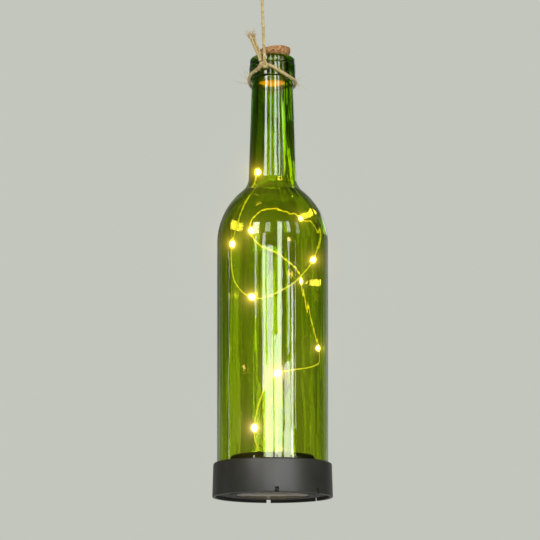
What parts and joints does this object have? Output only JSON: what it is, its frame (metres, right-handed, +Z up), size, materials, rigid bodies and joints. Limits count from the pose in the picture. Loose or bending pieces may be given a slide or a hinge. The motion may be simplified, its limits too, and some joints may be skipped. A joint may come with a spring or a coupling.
{
  "type": "solar bottle lamp",
  "caption": "Hanging lamp made of a cut green wine bottle on jute twine, with a cork, a string of small lights inside and a solar cap at its foot.",
  "frame": {"origin": "top of the twine's hanging loop, where a hook or branch carries the lamp", "axes": "+Z straight up, against gravity; +Y away from the viewer of the picture, so the knot at the neck is on the -Y side; the bottle's own axis leans 6.5 degrees from +Z, because the twine is tied in front of the neck and the weight hangs plumb under its knot"},
  "size_m": [0.0821, 0.0948, 0.3752],
  "materials": {
    "green_glass": "bottle green, clear and glossy",
    "agglomerated_cork": "pressed cork grains, dry",
    "moulded_plastic": "dark grey moulded, satin",
    "plate_plastic": "near-black moulded, fine texture",
    "silicone": "translucent white, soft",
    "solar_silicon": "dark blue cell with fine silver lines",
    "window_resin": "clear cast resin, glossy",
    "grommet_rubber": "black rubber",
    "cell_sleeve": "printed shrink sleeve without words, satin",
    "nickel": "nickel plated steel",
    "board_laminate": "green solder mask, satin",
    "driver_body": "black moulded",
    "lead_red": "red insulation",
    "lead_black": "black insulation",
    "switch_plastic": "black moulded",
    "screw_steel": "zinc plated",
    "string_wire": "lacquered copper wire",
    "led_resin": "clear resin over a lit warm white light",
    "jute": "natural jute, twisted, hairy"
  },
  "bodies": {
    "hook_loop": {"hanging_loop": "jute"},
    "swing_knot": {"loop_knot": "jute"},
    "twine_line": {"hanging_line": "jute"},
    "stopper": {"cork": "agglomerated_cork"},
    "switch": {"switch_slider": "switch_plastic"},
    "lamp": {"base_cap": "moulded_plastic", "base_plate": "plate_plastic", "battery_holder": "plate_plastic", "battery_lead_minus": "lead_black", "battery_lead_plus": "lead_red", "board_screw_1": "screw_steel", "board_screw_2": "screw_steel", "bottle": "green_glass", "cable_grommet": "grommet_rubber", "circuit_board": "board_laminate", "contact_minus": "nickel", "contact_plus": "nickel", "contact_spring": "nickel", "electronics_housing": "plate_plastic", "glass_seal": "silicone", "inductor": "driver_body", "led_01": "led_resin", "led_02": "led_resin", "led_03": "led_resin", "led_04": "led_resin", "led_05": "led_resin", "led_06": "led_resin", "led_07": "led_resin", "led_08": "led_resin", "led_09": "led_resin", "led_10": "led_resin", "led_driver": "driver_body", "light_string": "string_wire", "neck_knot": "jute", "neck_loop": "jute", "plate_screw_1": "screw_steel", "plate_screw_2": "screw_steel", "plate_screw_3": "screw_steel", "rechargeable_cell": "cell_sleeve", "solar_cell": "solar_silicon", "solar_lead_minus": "lead_black", "solar_lead_plus": "lead_red", "solar_window": "window_resin", "switch_body": "nickel", "twine_tail_1": "jute", "twine_tail_2": "jute"}
  },
  "joints": [
    {"name": "side_swing", "type": "hinge", "parent": "hook_loop", "child": "swing_knot", "pos_m": [0, 0, -0.028], "axis": [0, 1, 0], "range_deg": [-35, 35]},
    {"name": "fore_aft_swing", "type": "hinge", "parent": "swing_knot", "child": "twine_line", "pos_m": [0, 0, -0.028], "axis": [1, 0, 0], "range_deg": [-35, 35]},
    {"name": "twine_twist", "type": "hinge", "parent": "twine_line", "child": "lamp", "pos_m": [0, 0, -0.028], "axis": [-0.0045, 0.0119, 0.9999], "range_deg": [-180, 180], "stiffness_Nm_per_rad": 0.01},
    {"name": "cork_pull", "type": "slide", "parent": "lamp", "child": "stopper", "axis": [0.0334, 0.1091, 0.9935], "range_m": [0, 0.022]},
    {"name": "switch_slide", "type": "slide", "parent": "lamp", "child": "switch", "axis": [0.5763, -0.8143, 0.07], "range_m": [0, 0.002]}
  ]
}
